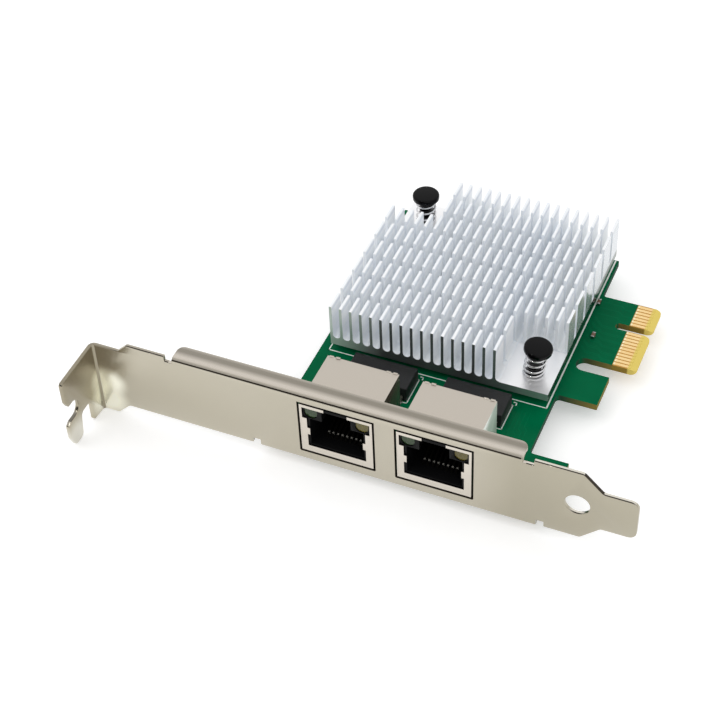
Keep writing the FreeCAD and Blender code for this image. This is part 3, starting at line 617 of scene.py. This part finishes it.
sheet = softened("bracket", "bracket_sheet", 0.09)
dress(sheet, nickel, replaces=["bracket"])
for number in (1, 2):
    moulding = softened("jack_%d_housing" % number, "jack_%d_moulding" % number, 0.06)
    dress(moulding, housing_black, replaces=["jack_%d_housing" % number])
for place in ("front", "rear"):
    pin = softened("push_pin_" + place, "pin_" + place, 0.16, 3)
    dress(pin, nylon, angle=40, replaces=["push_pin_" + place])

# %% [markdown]
# **Jack shells.** The top sheet of a shell is held at its back edge by two pairs of small
# folded hooks. Each hook is a block with rounded edges that stands a little above the sheet.

# %% Jack shells with their hooks
HOOK_OFFSET, HOOK_HALF, HOOK_NEAR, HOOK_FAR = 6.4, 0.5, 14.6, 15.15
for number, centre in enumerate(JACKS, 1):
    pieces = [softened("jack_%d_shield" % number, "jack_%d_shell" % number, 0.05)]
    for side in (-1, 1):
        x = centre + side * HOOK_OFFSET
        for shift, rise in ((-0.75, 0.04), (0.75, 0.1)):
            low = (x + shift - HOOK_HALF, HOOK_NEAR, JACK_TOP - 0.2)
            high = (x + shift + HOOK_HALF, HOOK_FAR, JACK_TOP + rise)
            pieces.append(bevelled(block("hook", low, high), 0.05))
    shell = joined("jack_%d_shell" % number, pieces)
    dress(shell, shell_tin, replaces=["jack_%d_shield" % number])

# %% [markdown]
# **Transformers.** Each block has a round dimple at its first lead. A flattened sphere cuts
# it with a Boolean modifier, as the ejector of the mould left it.

# %% Transformer bodies
for number, centre in enumerate(JACKS, 1):
    body = softened("transformer_%d" % number, "transformer_%d_body" % number, 0.12, 3)
    dimple = begin("uv_sphere", "dimple", segments=24, ring_count=12, radius=0.0006,
                   location=at(centre - 6.0, 21.6, 5.98), scale=(1, 1, 0.3))
    modify(body, "BOOLEAN", operation="DIFFERENCE", solver="EXACT", object=dimple)
    bpy.data.objects.remove(dimple)
    dress(body, epoxy, replaces=["transformer_%d" % number])

# %% [markdown]
# **The heatsink.** The real one is drawn through a die, which leaves fins with round valleys
# between them. It is then sawn across and milled away at two corners. So one fin is shaped
# first: a block whose lower end flares out in steps along a quarter circle on each side.

# %% One fin of the heatsink
SINK_LEFT, SINK_NEAR = 42.46, 29.22
SINK_WIDTH, SINK_DEPTH = 49.76, 49.6
SINK_BOTTOM, SINK_FLOOR, SINK_FLAT, SINK_TOP = 4.3, 6.3, 6.2, 15.2
FIN, FIN_COUNT, ROWS, SAW = 0.63, 22, 8, 1.47
FIN_PITCH = (SINK_WIDTH - FIN) / (FIN_COUNT - 1)
ROW = (SINK_DEPTH - (ROWS - 1) * SAW) / ROWS
VALLEY = (FIN_PITCH - FIN) / 2
SINK_RIGHT, SINK_FAR = SINK_LEFT + SINK_WIDTH, SINK_NEAR + SINK_DEPTH
HAIR, TOUCH, CREST_BEVEL = 0.00001, 0.000002, 0.00006

fin = block("fin", (SINK_LEFT, SINK_NEAR, SINK_FLOOR), (SINK_LEFT + FIN, SINK_NEAR + ROW, SINK_TOP))
quarter = [math.radians(angle) for angle in (0, 18, 36, 54, 72, 90)]
only(fin)
bpy.ops.object.mode_set(mode="EDIT")
for angle in quarter[1:]:
    bpy.ops.mesh.select_all(action="SELECT")
    level = SINK_FLOOR + VALLEY * (1 - math.cos(angle))
    bpy.ops.mesh.bisect(plane_co=at(0, 0, level), plane_no=(0, 0, 1), threshold=HAIR / 100)
for angle in quarter[:-1]:
    level = at(0, 0, SINK_FLOOR + VALLEY * (1 - math.cos(angle))).z
    half = FIN / 2 + VALLEY * (1 - math.sin(angle))
    pick(fin, "VERT", lambda v: abs(v.co.z - level) < TOUCH)
    bpy.ops.transform.resize(value=(half / (FIN / 2), 1, 1))
crest = at(0, 0, SINK_TOP).z
pick(fin, "EDGE", lambda e: min(v.co.z for v in e.verts) > crest - TOUCH)
bpy.ops.mesh.bevel(offset=CREST_BEVEL, segments=2, affect="EDGES")
done()
print("one fin:", len(fin.data.polygons), "faces")

# %% [markdown]
# Two Array modifiers repeat the fin across and back.

# %% All the fins
modify(fin, "ARRAY", count=FIN_COUNT, use_relative_offset=False, use_constant_offset=True,
       constant_offset_displace=(FIN_PITCH * MM, 0, 0))
modify(fin, "ARRAY", count=ROWS, use_relative_offset=False, use_constant_offset=True,
       constant_offset_displace=(0, (ROW + SAW) * MM, 0))
print("all fins:", len(fin.data.polygons), "faces")

# %% [markdown]
# The mill took two whole rows of five fins at each of two corners, and a little of the next
# row. Those fins are deleted, and the near faces of the next row are moved back. Then the
# outer flares are cut off just inside the block's sides.

# %% Milled corners
MILL_WIDTH = 5 * FIN_PITCH - VALLEY
MILL_BITE = 0.35
SAWN = 2 * (ROW + SAW)
front_corner = at(SINK_RIGHT - MILL_WIDTH, SINK_NEAR + SAWN, 0)
rear_corner = at(SINK_LEFT + MILL_WIDTH, SINK_FAR - SAWN, 0)
SAME_FACE = 0.0001


def milled_away(vert):
    """True in the two corners that carry the push pins."""
    here = vert.co
    front = here.x > front_corner.x + HAIR and here.y < front_corner.y - HAIR
    rear = here.x < rear_corner.x - HAIR and here.y > rear_corner.y + HAIR
    return front or rear


pick(fin, "VERT", milled_away)
bpy.ops.mesh.delete(type="VERT")
pick(fin, "VERT", lambda v: v.co.x > front_corner.x + HAIR and abs(v.co.y - front_corner.y) < SAME_FACE)
bpy.ops.transform.translate(value=(0, MILL_BITE * MM, 0))
pick(fin, "VERT", lambda v: v.co.x < rear_corner.x - HAIR and abs(v.co.y - rear_corner.y) < SAME_FACE)
bpy.ops.transform.translate(value=(0, -MILL_BITE * MM, 0))
for side, edge_x in ((-1, SINK_LEFT), (1, SINK_RIGHT)):
    bpy.ops.mesh.select_all(action="SELECT")
    bpy.ops.mesh.bisect(plane_co=at(edge_x - side * 0.004, 0, 0), plane_no=(side, 0, 0),
                        clear_outer=True, use_fill=True, threshold=HAIR / 100)
foot = at(0, 0, SINK_FLOOR).z
pick(fin, "FACE", lambda f: max(v.co.z for v in f.verts) < foot + TOUCH)
bpy.ops.mesh.delete(type="FACE")
done()
print("fins left:", len(fin.data.polygons), "faces")

# %% [markdown]
# The base is a slab. Cutters take the milled corners a little below the valleys, and a hole
# for each pin, as the real tools did. Each cutter has a Boolean of its own, because a mill
# and a drill overlap, and two overlapping cutters joined in one Boolean cancel each other.

# %% Base of the heatsink
MILL_DEPTH, MILL_TOP = SAWN + MILL_BITE, 8
DRILL_RADIUS, DRILL_LENGTH, DRILL_MIDDLE = 0.0019, 0.01, 5
base = block("sink_base", (SINK_LEFT, SINK_NEAR, SINK_BOTTOM), (SINK_RIGHT, SINK_FAR, SINK_FLOOR))
cutters = [
    block("mill", (SINK_RIGHT - MILL_WIDTH, SINK_NEAR - 1, SINK_FLAT),
          (SINK_RIGHT + 1, SINK_NEAR + MILL_DEPTH, MILL_TOP)),
    block("mill", (SINK_LEFT - 1, SINK_FAR - MILL_DEPTH, SINK_FLAT),
          (SINK_LEFT + MILL_WIDTH, SINK_FAR + 1, MILL_TOP)),
]
for x, y in (FRONT_PIN, REAR_PIN):
    cutters.append(begin("cylinder", "drill", vertices=40, radius=DRILL_RADIUS, depth=DRILL_LENGTH,
                         location=at(x, y, DRILL_MIDDLE)))
for cutter in cutters:
    modify(base, "BOOLEAN", operation="DIFFERENCE", solver="EXACT", object=cutter)
    bpy.data.objects.remove(cutter)
sink = joined("heatsink_block", [base, fin])
dress(sink, aluminium, angle=35, replaces=["heatsink"])

# %% [markdown]
# **Wires.** A spring or a copper track is a line with a round section, so a curve object is
# the natural start. Its points are set one by one, and it is then made a mesh.

# %% Curves made a mesh
def wire_through(places, name, thickness, resolution, caps):
    """Mesh of a round wire through places on the card. Thickness is in millimetres."""
    curve = bpy.data.curves.new(name, "CURVE")
    curve.dimensions = "3D"
    curve.bevel_depth = thickness / 2 * MM
    curve.bevel_resolution = resolution
    curve.use_fill_caps = caps
    spline = curve.splines.new("POLY")
    spline.points.add(len(places) - 1)
    for point, place in zip(spline.points, places):
        point.co = (*at(*place), 1)
    piece = bpy.data.objects.new(name, curve)
    bpy.context.scene.collection.objects.link(piece)
    only(piece)
    bpy.ops.object.convert(target="MESH")
    return bpy.context.object


print("helper for wires ready")

# %% [markdown]
# **The springs.** The points climb round the pin's axis, close together at both ends as on a
# ground spring, and the coil follows the lean of its pin.

# %% Coil springs
SPRING, WIRE, TURNS, STEPS = 2.15, 0.52, 4.2, 150
FIRST_ANGLE, END_CLOSING = math.radians(200), 0.055
PIN_LEAN = 6.7


def coil(name, x, y, low, high, lean):
    """Spring from low to high round an axis that leans in X."""
    slope = math.tan(math.radians(lean))
    places = []
    for i in range(STEPS + 1):
        share = i / STEPS
        level = low + (high - low) * (share - END_CLOSING * math.sin(2 * math.pi * share))
        turn = FIRST_ANGLE + 2 * math.pi * TURNS * share
        tilt = math.radians(lean) * share
        across = SPRING * math.cos(turn)
        places.append((x + (level - low) * slope + across * math.cos(tilt),
                       y + SPRING * math.sin(turn), level - across * math.sin(tilt)))
    return wire_through(places, name, WIRE, 3, True)


for label, (x, y), top, lean in (
        ("front", (87.16, FRONT_PIN[1]), 12.38, PIN_LEAN),
        ("rear", REAR_PIN, 12.47, 0)):
    spring = coil("spring_" + label, x, y, SINK_FLAT + WIRE / 2, top, lean)
    dress(spring, bright_wire, angle=60, replaces=["pin_spring_" + label])

# %% [markdown]
# **Ink on the board.** The maker prints thin white lines that show where parts go. Only plain
# outlines are drawn here: the frame round the heatsink, and a hooked line beside each
# transformer. Each line is a very thin block.

# %% White lines
INK_SUNK, INK_PROUD = 0.002, 0.012
FRAME_LEFT, FRAME_NEAR, FRAME_RIGHT, FRAME_FAR = 42.03, 28.97, 92.15, 78.9


def line(x0, y0, x1, y1, width=0.26):
    """Printed line along X or Y on the board's upper face."""
    half = width / 2
    return block("ink", (min(x0, x1) - half, min(y0, y1) - half, BOARD_TOP - INK_SUNK),
                 (max(x0, x1) + half, max(y0, y1) + half, BOARD_TOP + INK_PROUD))


ink_lines = [
    line(FRAME_LEFT, FRAME_NEAR, FRAME_RIGHT, FRAME_NEAR),
    line(FRAME_RIGHT, FRAME_NEAR, FRAME_RIGHT, FRAME_FAR, 0.36),
    line(FRAME_LEFT, FRAME_NEAR, FRAME_LEFT, FRAME_FAR),
]
for centre in JACKS:
    edge_x = centre + 7.4
    ink_lines += [
        line(edge_x, 19.8, edge_x, 27.3),
        line(edge_x - 1.0, 19.8, edge_x, 19.8),
        line(edge_x, 28.2, edge_x + 0.6, 28.2),
        line(edge_x + 0.6, 27.5, edge_x + 0.6, 28.2),
        line(edge_x - 0.5, 27.3, edge_x, 27.3),
    ]
printed = joined("printed_lines", ink_lines)
dress(printed, ink)

# %% [markdown]
# **Traces.** Copper tracks under the mask show as faint raised lines. Each one is a poly
# curve with a thin round section, made a mesh and pressed flat, so its bends stay even.

# %% Traces under the mask
TRACE_WIDTH, TRACE_START = 0.24, 101.0
trace_green = finish_of("trace_green", tint(2, 110, 70), tint(0, 100, 63), 0.16, 0.24, clouds=90,
                        bump=0.000003, Specular_IOR_Level=0.03)


def trace(points):
    """Copper track through (x, y) places on the board's upper face."""
    piece = wire_through([(x, y, BOARD_TOP) for x, y in points], "trace", TRACE_WIDTH, 1, False)
    pick(piece, "VERT", lambda v: True)
    bpy.ops.transform.resize(value=(1, 1, 0.1), center_override=at(0, 0, BOARD_TOP))
    done()
    return piece


tracks = []
for i in range(0, 11, 2):
    y = 46.91 + i
    for shift in (0, 0.45):
        tracks.append(trace([
            (TRACE_START, y + shift), (98.6 - i * 0.3, y + shift), (97.6 - i * 0.3, y + shift + 1.0),
            (94.6, y + shift + 1.0), (93.2, y + shift + 2.4),
        ]))
for i in range(0, 6, 2):
    y = 59.9 + i
    tracks.append(trace([(TRACE_START, y), (99.0, y), (98.0, y + 0.9), (93.3, y + 0.9)]))
for i in range(4):
    x = 87.6 + i * 0.9
    tracks.append(trace([(x, 9.0), (x, 18.5 + i), (x - 0.8, 19.3 + i), (x - 0.8, 26.5)]))
dress(joined("board_traces", tracks), trace_green, angle=50)

# %% [markdown]
# **Vias and joints.** Where a track changes sides there is a small plated hole under the
# mask. Under the board, each wire of a jack ends in a cone of solder. Both are shaped once
# and copied.

# %% A bench for copies
def copies_of(piece, places, name):
    """Copies of a bench piece moved by each matrix of places, joined as one object."""
    copies = []
    for place in places:
        only(piece)
        bpy.ops.object.duplicate()
        copy = bpy.context.object
        copy.matrix_world = place
        bpy.ops.object.transform_apply(location=True, rotation=True, scale=True)
        copies.append(copy)
    bpy.data.objects.remove(piece)
    return joined(name, copies)


VIA_RADIUS, VIA_HEIGHT, VIA_RIM, VIA_DIP = 0.0003, 0.00004, 0.00012, 0.00003
via = begin("cylinder", "via", vertices=16, radius=VIA_RADIUS, depth=VIA_HEIGHT, location=(0, 0, 0))
pick(via, "FACE", lambda f: f.normal.z > 0.9)
bpy.ops.mesh.inset(thickness=VIA_RIM)
bpy.ops.transform.translate(value=(0, 0, -VIA_DIP))
done()
via_places = [
    (93.9, 49.4), (95.0, 48.4), (96.3, 50.6), (94.2, 56.2), (96.8, 61.6), (98.4, 63.6), (94.9, 64.8),
    (97.0, 65.6), (88.3, 20.4), (89.9, 22.7), (86.9, 25.4), (91.2, 17.2), (65.2, 21.4), (66.0, 24.9),
    (41.2, 22.0), (41.3, 26.6), (46.2, 28.4), (99.6, 34.4), (98.9, 40.6), (96.2, 41.4), (94.3, 36.2),
]
vias = copies_of(via, [Matrix.Translation(at(x, y, BOARD_TOP)) for x, y in via_places], "vias")
dress(vias, trace_green)

# %% [markdown]
# A solder joint is a cone that hollows towards the wire: wide at the board, narrow at its
# tip, with its side drawn in nearer the board.

# %% Solder under the jacks
JOINT_TIP, JOINT_FOOT, JOINT_HEIGHT = 0.0003, 0.00046, 0.0006
WAIST, WIRE_PITCH = (0, 0, -0.00018), 1.02
joint = begin("cone", "joint", vertices=16, radius1=JOINT_TIP, radius2=JOINT_FOOT, depth=JOINT_HEIGHT,
              location=(0, 0, -0.0003))
pick(joint, "VERT", lambda v: True)
bpy.ops.mesh.bisect(plane_co=WAIST, plane_no=(0, 0, 1), threshold=HAIR / 100)
pick(joint, "VERT", lambda v: abs(v.co.z - WAIST[2]) < HAIR)
bpy.ops.transform.resize(value=(0.8, 0.8, 1), center_override=WAIST)
done()
under = [at(centre + (i - 3.5) * WIRE_PITCH, 11.95, BOARD_BOTTOM) for centre in JACKS for i in range(8)]
under += [at(centre + side * 7.9, 9.0, BOARD_BOTTOM) for centre in JACKS for side in (-1, 1)]
joints = copies_of(joint, [Matrix.Translation(spot) for spot in under], "solder_joints")
dress(joints, solder, angle=50)

# %% [markdown]
# **Chip parts.** A capacitor is a fired ceramic brick with a tinned cap at both ends, and a
# resistor is flatter and black. One of each is modelled on a bench at the origin and copied
# to every place where the CAD part has one, turned the same way. One more capacitor stands
# near the connector.

# %% Places of the small parts
def islands(node):
    """Lowest and highest corners of each separate solid in a CAD node."""
    mesh = bmesh.new()
    mesh.from_mesh(nodes[node].data)
    bmesh.ops.remove_doubles(mesh, verts=mesh.verts, dist=MERGE)
    left = set(mesh.verts)
    boxes = []
    while left:
        group, waiting = set(), [next(iter(left))]
        while waiting:
            vert = waiting.pop()
            if vert in group:
                continue
            group.add(vert)
            waiting.extend(e.other_vert(vert) for e in vert.link_edges)
        left -= group
        low = Vector([min(v.co[i] for v in group) for i in range(3)])
        high = Vector([max(v.co[i] for v in group) for i in range(3)])
        boxes.append((low, high))
    mesh.free()
    return sorted(boxes, key=lambda b: tuple(b[0]))


def standing_in(boxes):
    """Place for a bench piece in each box, turned where the box is longer in Y."""
    places = []
    for low, high in boxes:
        middle = (low + high) / 2
        spin = math.pi / 2 if high.y - low.y > high.x - low.x else 0
        places.append(Matrix.Translation((middle.x, middle.y, low.z)) @ Matrix.Rotation(spin, 4, "Z"))
    return places


caps_at = islands("capacitors")
caps_at.append((at(92.4, 63.1, BOARD_TOP), at(93.2, 64.7, BOARD_TOP + 0.8)))
resistors_at = islands("resistors")
print(len(caps_at), "capacitors,", len(resistors_at), "resistors")

# %% Capacitors and resistors in place
def brick(length, width, height):
    """Body of a chip part, standing at the origin along X, in millimetres."""
    piece = begin("cube", "body", size=1, location=(0, 0, height / 2 * MM),
                  scale=(length * 0.66 * MM, width * 0.94 * MM, height * 0.94 * MM))
    return bevelled(piece, height * 0.06)


def end_caps(length, width, height):
    """The two tinned ends of a chip part."""
    caps = []
    for side in (-1, 1):
        cap = begin("cube", "cap", size=1, location=(side * length * 0.4 * MM, 0, height / 2 * MM),
                    scale=(length * 0.2 * MM, width * MM, height * MM))
        caps.append(bevelled(cap, height * 0.1, 3))
    return joined("ends", caps)


for label, size, spots, material, slot in (
        ("capacitor", (1.6, 0.8, 0.8), caps_at, ceramic, "capacitor_brown"),
        ("resistor", (1.0, 0.5, 0.35), resistors_at, epoxy, "chip_black")):
    places = standing_in(spots)
    dress(copies_of(brick(*size), places, label + "_bodies"), material, replaces=[label + "s"])
    dress(copies_of(end_caps(*size), places, label + "_ends"), solder)

# %% [markdown]
# **CAD nodes that stay.** Their shape is right as it is, so they only get a finish: the board,
# the gold contacts, the contact wires, leads, chips and the light windows.

# %% Finishes for the CAD nodes
kept = {
    "circuit_board": board_green, "edge_contacts": gold, "controller_chip": epoxy, "thermal_pad": pad_grey,
    "bracket_screws": zinc, "crystal": lead_tin, "regulator": epoxy, "power_inductor": powder,
    "flash_chip": epoxy, "flash_chip_leads": lead_tin,
}
for number in (1, 2):
    kept["jack_%d_contacts" % number] = jack_wire
    kept["jack_%d_light_left" % number] = lens_green
    kept["jack_%d_light_right" % number] = lens_yellow
    kept["transformer_%d_leads" % number] = lead_tin
for name, material in kept.items():
    nodes[name].data.materials.clear()
    nodes[name].data.materials.append(material)
print("finished CAD nodes:", len(kept))

# %% [markdown]
# **Studio.** The floor is pale. It looks white to the camera and in metal, because it glows a
# little for those rays only, and it still keeps the card's soft shadow.

# %% Floor
FLOOR_GLOW = 0.35
bpy.ops.object.select_all(action="DESELECT")
bpy.ops.mesh.primitive_plane_add(size=8, location=(0, 0, 0))
floor = bpy.context.object
floor.name = "floor"
paper = bpy.data.materials.new("paper")
paper.use_nodes = True
tree = paper.node_tree
shader = tree.nodes["Principled BSDF"]
shader.inputs["Base Color"].default_value = (0.86, 0.86, 0.86, 1)
shader.inputs["Roughness"].default_value = 0.9
shader.inputs["Specular IOR Level"].default_value = 0
rays = add(tree, "LightPath").outputs
seen = add(tree, "Math", {0: rays["Is Camera Ray"], 1: rays["Is Glossy Ray"]}, operation="MAXIMUM").outputs[0]
seen = add(tree, "Math", {0: seen, 1: rays["Is Transmission Ray"]}, operation="MAXIMUM").outputs[0]
glow = add(tree, "Math", {0: seen, 1: FLOOR_GLOW}, operation="MULTIPLY").outputs[0]
shader.inputs["Emission Color"].default_value = (1, 1, 1, 1)
tree.links.new(glow, shader.inputs["Emission Strength"])
floor.data.materials.append(paper)
print("floor of", round(floor.dimensions.x, 2), "metres")

# %% [markdown]
# An even sky lights the card from all around. Metal needs something dark to mirror, or its
# bends vanish, so the sky has one dark card low in front, as a photographer would set it.
# Only glossy reflections show that card.

# %% Sky
SKY_LIGHT = 0.9
TO_CARD, CARD_RIM, CARD_CORE, CARD_TONE = (-0.30, -0.82, 0.48), 0.86, 0.93, 0.03
world = bpy.data.worlds.new("studio")
bpy.context.scene.world = world
world.use_nodes = True
tree = world.node_tree
tree.nodes.clear()
rays = add(tree, "LightPath").outputs
direction = add(tree, "TexCoord").outputs["Generated"]
near_card = add(tree, "VectorMath", {0: direction, 1: TO_CARD}, operation="DOT_PRODUCT").outputs["Value"]
card = add(tree, "MapRange", {"Value": near_card, "From Min": CARD_RIM, "From Max": CARD_CORE,
                              "To Min": 1.0, "To Max": CARD_TONE}).outputs[0]
shiny = add(tree, "Math", {0: rays["Is Glossy Ray"], 1: card}, operation="MULTIPLY").outputs[0]
direct = add(tree, "Math", {0: rays["Is Camera Ray"], 1: rays["Is Transmission Ray"]},
             operation="MAXIMUM").outputs[0]
diffuse = add(tree, "MapRange", {"Value": rays["Is Glossy Ray"], "To Min": SKY_LIGHT, "To Max": 0.0}).outputs[0]
level = add(tree, "Math", {0: shiny, 1: diffuse}, operation="ADD").outputs[0]
level = add(tree, "Math", {0: level, 1: direct}, operation="MAXIMUM").outputs[0]
sky = add(tree, "Background", {"Color": (1, 1, 1, 1), "Strength": level})
out = tree.nodes.new("ShaderNodeOutputWorld")
tree.links.new(sky.outputs[0], out.inputs["Surface"])
print("sky:", len(tree.nodes), "nodes")

# %% [markdown]
# Two lamps join the sky: a large soft one that gives the matt surfaces their shading, and a
# tiny one that only metal and gloss show, as a highlight.

# %% Lamps
def lamp(name, place, aim, size, power, in_metal):
    """Square lamp at a place in metres, turned towards a point, shown in reflections or not."""
    bpy.ops.object.light_add(type="AREA", location=place)
    light = bpy.context.object
    light.name = name
    light.data.size = size
    light.data.energy = power
    light.visible_glossy = in_metal
    light.visible_diffuse = not in_metal
    facing_aim = (Vector(place) - Vector(aim)).to_track_quat("Z", "Y").to_matrix().to_4x4()
    light.matrix_world = Matrix.Translation(place) @ facing_aim


CARD_MIDDLE = (0, 0, 0)
lamp("key", (-0.45, -0.25, 0.85), CARD_MIDDLE, size=0.6, power=1.1, in_metal=False)
lamp("spark", (-0.28, -0.52, 0.8), CARD_MIDDLE, size=0.05, power=0.5, in_metal=True)
bpy.context.scene.view_settings.view_transform = "Standard"
print("studio ready")
